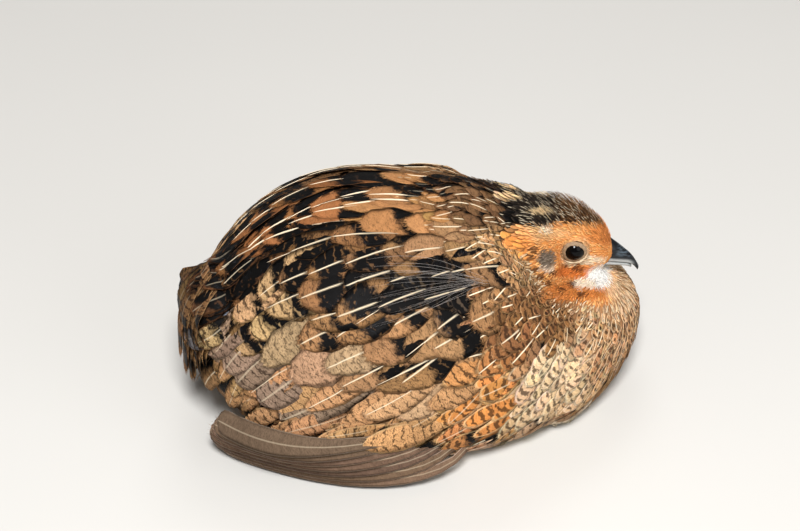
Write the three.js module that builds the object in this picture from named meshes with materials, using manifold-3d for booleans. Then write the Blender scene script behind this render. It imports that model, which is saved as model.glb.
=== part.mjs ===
// A hen quail crouched on the ground, life size, as a still model in closed solids.
// The bird faces +X with +Y on its left and +Z up, and its belly and feet rest on z = 0.
// Lengths are millimetres and angles are degrees.
import * as THREE from "three";
import { mergeVertices } from "three/addons/utils/BufferGeometryUtils.js";
import Module from "manifold-3d";

const wasm = await Module();
wasm.setup();

// Driving dimensions
const GAP = 0.3; // left between two nodes that touch
const BODY_REAR = -56;
const BODY_FRONT = 57;
const HEAD_AT = new THREE.Vector3(39.3, -1, 39.8); // midway between the eyes
const HEAD_TURN = -15; // towards the bird's right
const HEAD_DIP = 13; // bill below the horizontal
const EYE_RADIUS = 2.9;
const EYE_OPENING = 2.25; // radius of the ring of lids
const EYE_SIDE = 6.1; // from the middle of the head to an eye's middle
const BILL_ROOT = 5; // along the head, from the line through the eyes
const BILL_TIP = 19;
const WING_SKIN = 1.2; // height of the layer that the wing's feathers root in
const VANE = 0.6; // thickness of a feather's vane along its shaft
const VANE_EDGE = 0.5;
const VANE_LIFT = [1, 3.3]; // of a wing feather's upper face above the body, at its root and tip
const VANE_ROLL = 0.8; // how much further out its lower edge stands than its shaft, at the tip
const TARSUS_HEIGHT = 3.1;
const HOCK_HEIGHT = 3.8;
const TOE_HEIGHT = 2.2;
const HOCK_X = -8;
const FOOT_X = 15;
const LEG_SIDE = 13; // from the middle of the body to a leg
const CLAW = 3;

const COLOURS = {
  torso: 0x9a7448,
  neck: 0x8a6a44,
  head: 0xb8662c,
  bill: 0x3a3e44,
  eye: 0x140c08,
  wing: 0x7d6244,
  tail: 0x80603c,
  leg: 0xb98d3f,
};

const vector = (x, y, z) => new THREE.Vector3(x, y, z);
const radians = THREE.MathUtils.degToRad;
const mix = THREE.MathUtils.lerp;
const clamp = THREE.MathUtils.clamp;
const signedPower = (value, power) => Math.sign(value) * Math.abs(value) ** power;
const series = (count, make) => Array.from({ length: count }, (_, i) => make(i));

// A repeatable draw from -1 to 1, for the small differences between feathers.
function drawFrom(seed) {
  let state = seed;
  return () => {
    state = (state * 1664525 + 1013904223) % 4294967296;
    return (state / 4294967296) * 2 - 1;
  };
}

// Solids from closed surfaces, for joining and cutting
function solidFrom(geometry) {
  const bare = new THREE.BufferGeometry();
  bare.setAttribute("position", geometry.getAttribute("position"));
  bare.setIndex(geometry.index);
  const merged = mergeVertices(bare, 1e-4);
  const corners = Array.from(merged.index.array);
  const triVerts = [];
  for (let i = 0; i < corners.length; i += 3) {
    const face = corners.slice(i, i + 3);
    if (new Set(face).size === 3) triVerts.push(...face);
  }
  const vertProperties = merged.getAttribute("position").array;
  const make = (order) =>
    new wasm.Manifold(new wasm.Mesh({ numProp: 3, vertProperties, triVerts: new Uint32Array(order) }));
  const made = make(triVerts);
  return made.volume() < 0 ? make(triVerts.reverse()) : made;
}

// The largest closed surface of a solid, which drops loose scraps and fills sealed hollows.
const largest = (solid) =>
  solid.decompose().reduce((best, piece) => (piece.volume() > best.volume() ? piece : best));
const join = (solids) => largest(wasm.Manifold.union(solids));
const cut = (solid, tools) => largest(tools.reduce((rest, tool) => rest.subtract(tool), solid));
const mirrored = (solid) => solid.mirror([0, 1, 0]);

function meshFrom(name, solid, colour, roughness) {
  const { numVert, numProp, vertProperties, triVerts } = solid.getMesh();
  const positions = new Float32Array(numVert * 3);
  for (let i = 0; i < numVert; i++)
    positions.set(vertProperties.subarray(i * numProp, i * numProp + 3), i * 3);
  const geometry = new THREE.BufferGeometry();
  geometry.setAttribute("position", new THREE.BufferAttribute(positions, 3));
  geometry.setIndex(new THREE.BufferAttribute(triVerts, 1));
  geometry.computeVertexNormals();
  const material = new THREE.MeshStandardMaterial({ color: colour, roughness, metalness: 0 });
  const mesh = new THREE.Mesh(geometry, material);
  mesh.name = name;
  return mesh;
}

// Rings of points joined in order and closed at both ends. A flat section's ring runs along one
// face and back along the other, and then both faces are split into triangles alike.
function loft(rings, flat = false) {
  const sides = rings[0].length;
  const last = (rings.length - 1) * sides;
  const corners = [];
  for (let start = 0; start < last; start += sides)
    for (let s = 0; s < sides; s++) {
      const a = start + s;
      const b = start + ((s + 1) % sides);
      if (flat && s >= sides / 2) corners.push(a, b, a + sides, b, b + sides, a + sides);
      else corners.push(a, b, b + sides, a, b + sides, a + sides);
    }
  const across = (s) => [
    [s, s + 1, sides - 2 - s],
    [s, sides - 2 - s, sides - 1 - s],
  ];
  const caps = flat ? series(sides / 2 - 1, across).flat() : series(sides - 2, (s) => [0, s + 1, s + 2]);
  for (const [a, b, c] of caps) corners.push(a, c, b, last + a, last + b, last + c);
  const geometry = new THREE.BufferGeometry().setFromPoints(rings.flat());
  geometry.setIndex(corners);
  return solidFrom(geometry);
}

const ellipsoid = (at, [x, y, z], around = 14, down = 10) =>
  solidFrom(new THREE.SphereGeometry(1, around, down).scale(x, y, z).translate(at.x, at.y, at.z));

// One value of a table of stations at place x, on a smooth curve through them.
function stationValue(stations, key, x) {
  const last = stations.length - 1;
  let i = 0;
  while (i < last - 1 && x > stations[i + 1].x) i++;
  const a = stations[i];
  const b = stations[i + 1];
  const before = stations[Math.max(i - 1, 0)];
  const after = stations[Math.min(i + 2, last)];
  const span = b.x - a.x;
  const t = clamp((x - a.x) / span, 0, 1);
  const slopeA = ((b[key] - before[key]) / (b.x - before.x)) * span;
  const slopeB = ((after[key] - a[key]) / (after.x - a.x)) * span;
  return (
    a[key] * (2 * t ** 3 - 3 * t ** 2 + 1) +
    slopeA * (t ** 3 - 2 * t ** 2 + t) +
    b[key] * (3 * t ** 2 - 2 * t ** 3) +
    slopeB * (t ** 3 - t ** 2)
  );
}

// A rounded form along X. A station gives the height of the widest line, the half width there,
// and how far the form rises above that line and drops below it, before the ends are rounded off.
class Form {
  constructor({ stations, blunt, squareTop, squareBottom, floor = -Infinity }) {
    Object.assign(this, { stations, blunt, squareTop, squareBottom, floor });
    this.rear = stations[0].x;
    this.front = stations[stations.length - 1].x;
  }

  // The point at place x and an angle round the form, from 0 at the left over 90 at the top.
  point(x, angle, grow = 0) {
    const middle = (this.rear + this.front) / 2;
    const reach = (this.front - this.rear) / 2;
    const share = Math.min(Math.abs(x - middle) / reach, 1);
    const close = Math.sqrt(Math.max(1 - share ** this.blunt, 0));
    const across = Math.cos(radians(angle));
    const upward = Math.sin(radians(angle));
    const value = (key) => stationValue(this.stations, key, x);
    const height = (upward > 0 ? value("rise") : value("drop")) * close + grow;
    const half = value("half") * close + grow;
    const power = 2 / (upward > 0 ? this.squareTop : this.squareBottom);
    const z = value("mid") + height * signedPower(upward, power);
    const y = half * signedPower(across, power);
    return vector(x + (grow * (x - middle)) / reach, y, Math.max(z, this.floor - grow));
  }

  normal(x, angle) {
    const along = this.point(x + 0.5, angle).sub(this.point(x - 0.5, angle));
    const round = this.point(x, angle + 1).sub(this.point(x, angle - 1));
    return round.cross(along).normalize();
  }

  solid(rows, sides, grow = 0) {
    const start = 0.06; // radians from the very end at which the first ring lies
    const ring = (turn) => {
      const x = mix(this.rear, this.front, (1 - Math.cos(turn)) / 2);
      return series(sides, (s) => this.point(x, (360 * s) / sides, grow));
    };
    return loft(series(rows + 1, (r) => ring(mix(start, Math.PI - start, r / rows))));
  }
}

// A tapering limb along a curve, with an oval section.
function limb(path, sizes, sides, steps) {
  const curve = new THREE.CatmullRomCurve3(path);
  const ring = (t) => {
    const side = curve.getTangent(t).cross(vector(0, 0, 1)).normalize();
    const { half, height } = sizes(t);
    return series(sides, (s) => {
      const angle = radians((360 * (s + 0.5)) / sides);
      const point = curve.getPoint(t).addScaledVector(side, half * signedPower(Math.cos(angle), 0.7));
      return point.add(vector(0, 0, (height / 2) * signedPower(Math.sin(angle), 0.7)));
    });
  };
  return loft(series(steps + 1, (i) => ring(i / steps)));
}

// Torso: a deep rounded body, with the breast pushed forward under the chin.
const torsoForm = new Form({
  stations: [
    { x: BODY_REAR, mid: 23, half: 37, rise: 33, drop: 21 },
    { x: -36, mid: 24, half: 38, rise: 36, drop: 25 },
    { x: -10, mid: 24, half: 40, rise: 36, drop: 27 },
    { x: 14, mid: 23.5, half: 39, rise: 29.5, drop: 27 },
    { x: 34, mid: 21, half: 34, rise: 16, drop: 26 },
    { x: BODY_FRONT, mid: 18, half: 29, rise: 16, drop: 20 },
  ],
  blunt: 2.8,
  squareTop: 2.1,
  squareBottom: 3.4,
  floor: 0,
});
const torsoCore = torsoForm.solid(26, 34);
const torsoRoom = torsoForm.solid(26, 34, GAP);

// Neck: drawn in, so that only a sloping collar shows between back and crown.
const neckPath = new THREE.CatmullRomCurve3([vector(8, 0, 33.5), vector(20, 0, 35.5), vector(32, -0.5, 38)]);

function neckSolid(grow = 0) {
  const rows = 8;
  const sides = 24;
  const lean = 4; // the lower part of each ring stands further forward than the upper
  const ring = (r) => {
    const t = r / rows;
    const past = r === 0 ? -grow : r === rows ? grow : 0;
    const at = neckPath.getPoint(t).addScaledVector(neckPath.getTangent(t), past);
    const half = mix(25, 10.5, t) + grow;
    const rise = mix(23.5, 11.5, t) + grow;
    return series(sides, (s) => {
      const angle = radians((360 * s) / sides);
      const x = at.x + (lean * (1 - Math.sin(angle))) / 2;
      return vector(x, at.y + half * Math.cos(angle), at.z + rise * Math.sin(angle));
    });
  };
  return loft(series(rows + 1, ring));
}

// Head: made level and facing +X about the point between the eyes, then dipped, turned and placed.
const placeHead = (solid) =>
  solid.rotate([0, HEAD_DIP, 0]).rotate([0, 0, HEAD_TURN]).translate(HEAD_AT.toArray());

const headForm = new Form({
  stations: [
    { x: -18, mid: -1, half: 9.5, rise: 11.5, drop: 9 },
    { x: -9, mid: -1, half: 9.2, rise: 10.6, drop: 10.4 },
    { x: 0, mid: -1.2, half: 8.3, rise: 10.1, drop: 10.6 },
    { x: 6, mid: -1.6, half: 7.2, rise: 8.6, drop: 9.4 },
    { x: 11.8, mid: -2.6, half: 5.6, rise: 3.6, drop: 7 },
  ],
  blunt: 2.4,
  squareTop: 2.1,
  squareBottom: 2.1,
});
const headCore = headForm.solid(18, 24);
const headRoom = headForm.solid(18, 24, GAP);
const eyeAt = (side) => vector(0.3, side * EYE_SIDE, 0);
const eyeBall = (side, grow = 0) => ellipsoid(eyeAt(side), Array(3).fill(EYE_RADIUS + grow), 14, 10);

// A ring of lid skin round an eye's opening.
function lid(side) {
  const depth = Math.sqrt(EYE_RADIUS ** 2 - EYE_OPENING ** 2);
  const ring = new THREE.TorusGeometry(EYE_OPENING + 0.35, 0.55, 6, 14).rotateX(Math.PI / 2);
  const at = eyeAt(side).add(vector(0, side * (depth + 0.1), 0));
  return solidFrom(ring.translate(at.x, at.y, at.z));
}

const head = cut(join([headCore, lid(-1), lid(1)]), [eyeBall(-1, GAP), eyeBall(1, GAP)]);

// Bill: two horny sheaths that meet along the cutting edge, the upper one with a straight ridge
// that bends down with the edge into a hook.
const cuttingEdge = (x) => -4.15 - 0.1 * Math.max(x - 15, 0) ** 2;

function billSheath({ tip, rise, drop, below }) {
  const rows = 8;
  const sides = 10;
  const ring = (r) => {
    const x = mix(BILL_ROOT, tip, Math.sin((r / rows) * Math.PI * 0.5));
    const share = (x - BILL_ROOT) / (BILL_TIP - BILL_ROOT);
    const half = mix(3.3, 0.6, share ** 1.3);
    return series(sides, (s) => {
      const angle = radians((360 * s) / sides);
      const reach = Math.sin(angle) > 0 ? rise(share) : drop(share);
      return vector(x, half * Math.cos(angle), cuttingEdge(x) - below + reach * Math.sin(angle));
    });
  };
  return loft(series(rows + 1, ring));
}

const upperSheath = billSheath({
  tip: BILL_TIP,
  rise: (share) => mix(7.9, 0.3, share),
  drop: (share) => mix(0.2, 0.9, share ** 6),
  below: 0,
});
const lowerSheath = billSheath({
  tip: BILL_TIP - 2,
  rise: () => 0.2,
  drop: (share) => mix(1.9, 0.5, share),
  below: 0.85,
});

// A nostril slit under its horny flap, on each side of the upper sheath.
const nostrilFlap = (side) => ellipsoid(vector(10.9, side * 1.75, -1.1), [1.9, 0.8, 0.9], 10, 6);
const nostril = (side) => ellipsoid(vector(11.4, side * 2.2, -2), [1.3, 0.6, 0.5], 8, 6);
const upperBill = cut(join([upperSheath, nostrilFlap(-1), nostrilFlap(1)]), [
  nostril(-1),
  nostril(1),
  headRoom,
]);
const lowerBill = cut(lowerSheath, [headRoom]);

// Legs: each tarsus lies flat under the belly with three toes forward and a short one behind.
const TOES = [
  { length: 17, bearing: 4, height: TOE_HEIGHT },
  { length: 13, bearing: -27, height: TOE_HEIGHT },
  { length: 13.5, bearing: 31, height: TOE_HEIGHT },
  { length: 5, bearing: -150, height: TOE_HEIGHT * 0.8 },
];

function toe({ length, bearing, height }) {
  const way = vector(Math.cos(radians(bearing)), -Math.sin(radians(bearing)), 0);
  const at = (distance, z) => vector(FOOT_X, -LEG_SIDE, 0).addScaledVector(way, distance).setZ(z);
  const pad = (t) => 1 + 0.1 * Math.cos(t * Math.PI * 5);
  const pads = limb(
    [at(0, height / 2), at(length * 0.5, height / 2), at(length, height * 0.42)],
    (t) => ({ half: mix(1.15, 0.75, t) * pad(t), height: mix(1, 0.84, t) * height }),
    6,
    5,
  );
  const claw = limb(
    [at(length - 1, 0.9), at(length + CLAW * 0.5, 0.85), at(length + CLAW, 0.35)],
    (t) => ({ half: mix(0.6, 0.2, t), height: mix(1.2, 0.4, t) }),
    6,
    2,
  );
  return [pads, claw];
}

function leg() {
  const shank = limb(
    [
      vector(HOCK_X, -LEG_SIDE - 1, HOCK_HEIGHT / 2),
      vector(HOCK_X + 5, -LEG_SIDE - 0.8, TARSUS_HEIGHT / 2),
      vector(FOOT_X, -LEG_SIDE, TARSUS_HEIGHT / 2),
    ],
    (t) => {
      const settle = Math.min(t * 4, 1);
      return { half: mix(2, 1.45, settle), height: mix(HOCK_HEIGHT, TARSUS_HEIGHT, settle) };
    },
    8,
    7,
  );
  const knuckle = ellipsoid(vector(FOOT_X, -LEG_SIDE, TARSUS_HEIGHT / 2), [1.7, 1.9, 1.5], 8, 6);
  return join([shank, knuckle, ...TOES.flatMap(toe)]);
}

// The hollow in the belly feathers that a leg lies in, open to the ground.
function legHollow() {
  const stations = [
    { x: HOCK_X - 4, half: 4.2, top: HOCK_HEIGHT + GAP },
    { x: HOCK_X + 4, half: 4.2, top: HOCK_HEIGHT + GAP },
    { x: FOOT_X - 5, half: 6, top: TARSUS_HEIGHT + 2 * GAP },
    { x: FOOT_X + 4, half: 10, top: TARSUS_HEIGHT + 2 * GAP },
    { x: FOOT_X + 22, half: 10.5, top: TARSUS_HEIGHT + 2 * GAP },
  ];
  const y = -LEG_SIDE - 0.4;
  return loft(
    stations.map(({ x, half, top }) => [
      vector(x, y - half, -1),
      vector(x, y + half, -1),
      vector(x, y + half, top - 0.8),
      vector(x, y + half - 1.5, top),
      vector(x, y - half + 1.5, top),
      vector(x, y - half, top - 0.8),
    ]),
  );
}

// A feather's vane along a path. The path gives a place and the way out from the body there, the
// lifts run from root to tip, and the vane is rolled so that its lower edge stands further out.
function vane({ path, width, lift, roll = VANE_ROLL, flare = 0, steps }) {
  const ring = (i) => {
    const t = i / steps;
    const { at, out } = path(t);
    const side = path(t + 0.02).at.sub(at).cross(out).normalize();
    const spread = mix(0.7, 1, THREE.MathUtils.smoothstep(t, 0.5, 0.85));
    const half = (width / 2) * spread * Math.sqrt(1.05 - t ** 5);
    const top = mix(lift[0], lift[1], t) + flare * t ** 3;
    const turned = roll * t ** 0.7;
    const corner = (across, down) =>
      at.clone().addScaledVector(side, across * half).addScaledVector(out, top - down + across * turned);
    const bevel = (VANE - VANE_EDGE) / 2;
    return [
      corner(-1, VANE - bevel),
      corner(0, VANE),
      corner(1, VANE - bevel),
      corner(1, bevel),
      corner(0, 0),
      corner(-1, bevel),
    ];
  };
  return loft(series(steps + 1, ring), true);
}

// Places on the torso by x and by the angle above the level of its right side.
function onTorso({ x, angle }, height = 0) {
  const out = torsoForm.normal(x, 180 - angle);
  return { at: torsoForm.point(x, 180 - angle).addScaledVector(out, height), out };
}

// A row of vanes over the torso, from the lower edge of the wing to the upper one.
function vaneRow({ count, roots, tips, width, steps, seed }) {
  const draw = drawFrom(seed);
  return series(count, (i) => {
    const share = i / (count - 1);
    const between = ([low, high]) => ({ x: mix(low[0], high[0], share), angle: mix(low[1], high[1], share) });
    const root = between(roots);
    const tip = between(tips);
    tip.x += 0.8 * draw();
    const path = (t) => onTorso({ x: mix(root.x, tip.x, t), angle: mix(root.angle, tip.angle, t) });
    return vane({ path, width: mix(width[0], width[1], share), lift: VANE_LIFT, steps });
  });
}

// Wing: a thin layer folded on the flank, from which its feathers grow in tiers.
const WING_TIERS = [
  { count: 7, roots: [[5, -20], [18, 41]], tips: [[-12, -28], [1, 38]], width: [8.4, 8.8], steps: 3, seed: 11 },
  { count: 7, roots: [[-7, -20], [6, 44]], tips: [[-25, -26], [-13, 41]], width: [8.6, 9.2], steps: 3, seed: 23 },
  { count: 6, roots: [[-18, -16], [-8, 46]], tips: [[-38, -21], [-30, 42]], width: [9.6, 10.2], steps: 4, seed: 37 },
  { count: 5, roots: [[-27, -10], [-22, 44]], tips: [[-49, -10], [-47, 30]], width: [10.5, 12], steps: 4, seed: 41 },
];

// The long feathers of the hand show below the coverts and end beside the rump, near the ground.
const PRIMARIES = 4;

function primary(i) {
  const share = i / (PRIMARIES - 1);
  const curve = new THREE.CatmullRomCurve3([
    vector(mix(2, -18, share), mix(-37, -39, share), mix(8, 17, share)),
    vector(mix(-16, -38, share), mix(-38.5, -34.5, share), mix(4, 15.5, share)),
    vector(mix(-38, -49, share), mix(-28, -25.5, share), mix(3.5, 14.5, share)),
    vector(-54, mix(-12, -17, share), mix(2.5, 13, share)),
  ]);
  const path = (t) => {
    const way = curve.getTangent(clamp(t, 0, 1));
    const at = curve.getPoint(Math.min(t, 1)).addScaledVector(way, Math.max(t - 1, 0) * 40);
    const sideways = vector(0, 0, 1).cross(way).normalize();
    return { at, out: sideways.multiplyScalar(Math.sign(-sideways.y)).add(vector(0, 0, 0.4)).normalize() };
  };
  return vane({ path, width: 5.5, lift: [0, 0.6], roll: 0.3, steps: 5 });
}

function wingLayer() {
  const rows = 7;
  const columns = 7;
  const sunk = -1; // under the torso's face, which is cut away from it afterwards
  const edges = [
    { x: -43, low: -12, high: 36 },
    { x: -34, low: -22, high: 42 },
    { x: -14, low: -29, high: 46 },
    { x: 8, low: -25, high: 44 },
    { x: 15, low: -14, high: 36 },
  ];
  const ring = (r) => {
    const x = mix(edges[0].x, edges[edges.length - 1].x, r / rows);
    const [low, high] = ["low", "high"].map((key) => stationValue(edges, key, x));
    const line = (height) => series(columns + 1, (c) => onTorso({ x, angle: mix(low, high, c / columns) }, height).at);
    return [...line(sunk), ...line(WING_SKIN).reverse()];
  };
  return loft(series(rows + 1, ring), true);
}

const wing = cut(join([wingLayer(), ...WING_TIERS.flatMap(vaneRow), ...series(PRIMARIES, primary)]), [
  torsoRoom,
]);

// Tail: a soft drooping fan of short feathers under a tier of coverts, close to the rump.
const TAIL_TIERS = [
  { count: 5, spread: 9.5, from: 46, until: 26, lift: 1.1, width: 8 },
  { count: 7, spread: 11, from: 38, until: 9, lift: 0, width: 7 },
];

function tailFeather(place, { spread, from, until, lift, width }) {
  const y = place * spread;
  const edge = Math.abs(place);
  const height = (t) => mix(from - 4 * edge, until + 4 * edge, t);
  const curve = new THREE.CatmullRomCurve3([
    vector(-51, y * 0.5, height(0)),
    vector(-57.5 + 2 * edge, y * 0.8, height(0.4)),
    vector(-59 + 3 * edge, y, height(0.7)),
    vector(-59.5 + 4.5 * edge, y * 1.1, height(1)),
  ]);
  const path = (t) => {
    const way = curve.getTangent(clamp(t, 0, 1));
    const at = curve.getPoint(Math.min(t, 1)).addScaledVector(way, Math.max(t - 1, 0) * 30);
    return { at, out: vector(0, 1, 0).cross(way).normalize() };
  };
  const high = lift - 0.5 * edge;
  return vane({ path, width, lift: [high, high], roll: 0, steps: 5 });
}

const tailVanes = TAIL_TIERS.flatMap((tier) =>
  series(tier.count, (i) => tailFeather((2 * i) / (tier.count - 1) - 1, tier)),
);
const tailRoot = ellipsoid(vector(-50, 0, 32), [8, 13, 12]);
const tail = cut(join([tailRoot, ...tailVanes]), [torsoRoom]);

// Everything put together
const headPlacedRoom = placeHead(headRoom);
const rightLeg = leg();
const rightHollow = legHollow();
const torso = cut(torsoCore, [neckSolid(GAP), headPlacedRoom, rightHollow, mirrored(rightHollow)]);
const neck = cut(neckSolid(), [headPlacedRoom]);

const bird = new THREE.Group();
bird.add(meshFrom("torso", torso, COLOURS.torso, 0.85));
bird.add(meshFrom("neck", neck, COLOURS.neck, 0.85));
bird.add(meshFrom("head", placeHead(head), COLOURS.head, 0.85));
bird.add(meshFrom("bill_upper", placeHead(upperBill), COLOURS.bill, 0.4));
bird.add(meshFrom("bill_lower", placeHead(lowerBill), COLOURS.bill, 0.4));
bird.add(meshFrom("eye_right", placeHead(eyeBall(-1)), COLOURS.eye, 0.1));
bird.add(meshFrom("eye_left", placeHead(eyeBall(1)), COLOURS.eye, 0.1));
bird.add(meshFrom("wing_right", wing, COLOURS.wing, 0.8));
bird.add(meshFrom("wing_left", mirrored(wing), COLOURS.wing, 0.8));
bird.add(meshFrom("tail", tail, COLOURS.tail, 0.8));
bird.add(meshFrom("leg_right", rightLeg, COLOURS.leg, 0.6));
bird.add(meshFrom("leg_left", mirrored(rightLeg), COLOURS.leg, 0.6));

// The origin lies on the ground under the middle of the whole.
const box = new THREE.Box3().setFromObject(bird);
const middle = box.getCenter(vector(0, 0, 0));
bird.position.set(-middle.x, -middle.y, 0);

export default bird;
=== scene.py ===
import math

import bmesh
import bpy
import numpy as np
from mathutils import Matrix, Vector
from mathutils.bvhtree import BVHTree
from mathutils.kdtree import KDTree


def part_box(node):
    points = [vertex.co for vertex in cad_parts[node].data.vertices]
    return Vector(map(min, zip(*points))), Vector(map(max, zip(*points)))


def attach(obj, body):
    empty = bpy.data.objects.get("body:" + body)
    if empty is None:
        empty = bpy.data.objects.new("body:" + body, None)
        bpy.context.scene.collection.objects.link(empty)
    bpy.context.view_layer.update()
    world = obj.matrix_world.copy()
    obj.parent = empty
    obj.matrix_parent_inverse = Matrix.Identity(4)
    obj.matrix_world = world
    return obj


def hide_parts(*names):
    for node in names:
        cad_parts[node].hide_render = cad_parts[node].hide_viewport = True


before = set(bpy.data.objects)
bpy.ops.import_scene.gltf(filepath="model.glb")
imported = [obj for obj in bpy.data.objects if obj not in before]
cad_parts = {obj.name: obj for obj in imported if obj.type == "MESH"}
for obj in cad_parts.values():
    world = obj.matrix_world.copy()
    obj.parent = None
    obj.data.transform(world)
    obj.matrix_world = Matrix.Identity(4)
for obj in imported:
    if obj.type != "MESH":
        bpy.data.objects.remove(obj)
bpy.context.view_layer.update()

# Skin: the bird's own skin over flesh and bone, one closed surface from the rump to the face. It
# lies inside the solids by the depth of the coat, and the feathers root in it.
MM = 0.001
BODY_DEPTH = 1.7 * MM  # of the coat, over the body
HEAD_DEPTH = 0.9 * MM
VOXEL = 0.9 * MM
GROWTH = 0.35 * MM  # of each solid, so that the gaps between them close
LEVEL = 24 * MM  # the height of the bird's sides, from where angles round the body are measured

torso_front = 56.9 * MM  # of the torso's solid, before the whole was centred on the origin
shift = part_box("torso")[1][0] - torso_front

head_turn = Matrix.Rotation(math.radians(-15), 3, "Z") @ Matrix.Rotation(math.radians(13), 3, "Y")
head_axes = np.array(head_turn)  # its columns are the head's own X, Y and Z
head_at = np.array([39.3 * MM + shift, -1 * MM, 39.8 * MM])  # midway between the eyes


def head_place(x, y, z):
    """A place given in millimetres along the head's own axes, from midway between the eyes."""
    return head_at + head_axes @ (np.array([x, y, z]) * MM)


def smooth(low, high, value):
    """0 below low, 1 above high, and an even ease between them."""
    t = np.clip((value - low) / (high - low), 0, 1)
    return t * t * (3 - 2 * t)


def unit(vectors):
    """The same directions, with a length of 1."""
    return vectors / np.maximum(np.linalg.norm(vectors, axis=-1, keepdims=True), 1e-12)


def mesh_arrays(mesh):
    """A mesh's points and the way out at each."""
    points = np.empty(len(mesh.vertices) * 3)
    mesh.vertices.foreach_get("co", points)
    normals = np.empty(len(mesh.vertices) * 3)
    mesh.vertices.foreach_get("normal", normals)
    return points.reshape(-1, 3), normals.reshape(-1, 3)


def merged_copy(name):
    """A node's mesh with its loose triangles joined again, grown by enough to close a gap."""
    shape = bmesh.new()
    shape.from_mesh(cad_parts[name].data)
    bmesh.ops.remove_doubles(shape, verts=shape.verts, dist=1e-6)
    shape.normal_update()
    for vert in shape.verts:
        vert.co += vert.normal * GROWTH
    return shape


def put_in_scene(name, mesh):
    piece = bpy.data.objects.new(name, mesh)
    bpy.context.scene.collection.objects.link(piece)
    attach(piece, "root")
    return piece


flesh = bmesh.new()
for node in ("torso", "neck", "head"):
    part = merged_copy(node)
    spare = bpy.data.meshes.new(node + "_copy")
    part.to_mesh(spare)
    flesh.from_mesh(spare)
    part.free()
    bpy.data.meshes.remove(spare)
# The rump rounds out over the tail's root
rump = Matrix.Translation((-50 * MM + shift, 0, 32 * MM)) @ Matrix.Diagonal((8 * MM, 13 * MM, 12 * MM, 1))
bmesh.ops.create_uvsphere(flesh, u_segments=24, v_segments=16, radius=1, matrix=rump)

skin_mesh = bpy.data.meshes.new("skin")
flesh.to_mesh(skin_mesh)
flesh.free()
skin = put_in_scene("skin", skin_mesh)
remesh = skin.modifiers.new("one_surface", "REMESH")
remesh.mode = "VOXEL"
remesh.voxel_size = VOXEL
remesh.use_smooth_shade = True
soften = skin.modifiers.new("soften", "SMOOTH")
soften.factor = 0.5
soften.iterations = 8
graph = bpy.context.evaluated_depsgraph_get()
outer = bpy.data.meshes.new_from_object(skin.evaluated_get(graph))
skin.modifiers.clear()
skin.data = outer

points, normals = mesh_arrays(outer)
near_head = smooth(24, 16, np.linalg.norm(points - head_at, axis=1) / MM)
depth = BODY_DEPTH * (1 - near_head) + HEAD_DEPTH * near_head + GROWTH
x_mm, z_mm = (points[:, 0] - shift) / MM, points[:, 2] / MM
nape = smooth(0, 14, x_mm) * smooth(34, 25, x_mm) * smooth(38, 50, z_mm)
depth = depth - 2.6 * MM * nape  # the skin bulges there, so the outline stays full
to_bill = smooth(3, 7.5, ((points - head_at) @ head_axes)[:, 0] / MM)
depth = depth * (1 - to_bill) + 0.05 * MM * to_bill
points = points - normals * depth[:, None]
outer.vertices.foreach_set("co", points.ravel())
outer.update()
skin_tree = BVHTree.FromPolygons(
    points.tolist(), [tuple(p.vertices) for p in outer.polygons], all_triangles=False
)
points, normals = mesh_arrays(outer)
face_normals = unit(np.array([normals[list(p.vertices)].mean(axis=0) for p in outer.polygons]))


def settle(places):
    """The nearest places on the skin, and the way out from it there."""
    found = [skin_tree.find_nearest(place) for place in places.reshape(-1, 3).tolist()]
    at = np.array([f[0] for f in found]).reshape(places.shape)
    out = face_normals[[f[2] for f in found]].reshape(places.shape)
    return at, out


def body_place(x, angle, side):
    """On the skin at x millimetres, at an angle above the level of its side (-1 right, 1 left)."""
    centre = Vector((x * MM + shift, 0, LEVEL))
    turn = math.radians(angle)
    out = Vector((0, side * math.cos(turn), math.sin(turn)))
    at = skin_tree.ray_cast(centre + out * 0.1, -out)[0]
    return np.array(at if at else centre)


def body_angles(places):
    """The x in millimetres and the angle above the level of the nearer side, for each place."""
    x = (places[..., 0] - shift) / MM
    return x, np.degrees(np.arctan2(places[..., 2] - LEVEL, np.abs(places[..., 1])))


def head_local(places):
    """Places in millimetres along the head's own axes."""
    return ((places - head_at) @ head_axes) / MM


# Colours of the plumage, as soft patches over the body by x and by the angle above the level of
# the side, and over the face along the head's own axes. Each feather takes its place's colour.
EYE_FORWARD = 0.3  # of the eye's middle along the head's own X, in millimetres
BLACK, STREAK = 7, 10  # the columns of a row of markings that hold these two


def paint(red, green, blue):
    """The linear colour of an sRGB one."""
    share = np.array([red, green, blue]) / 255
    return np.where(share > 0.04045, ((share + 0.055) / 1.055) ** 2.4, share / 12.92)


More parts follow.
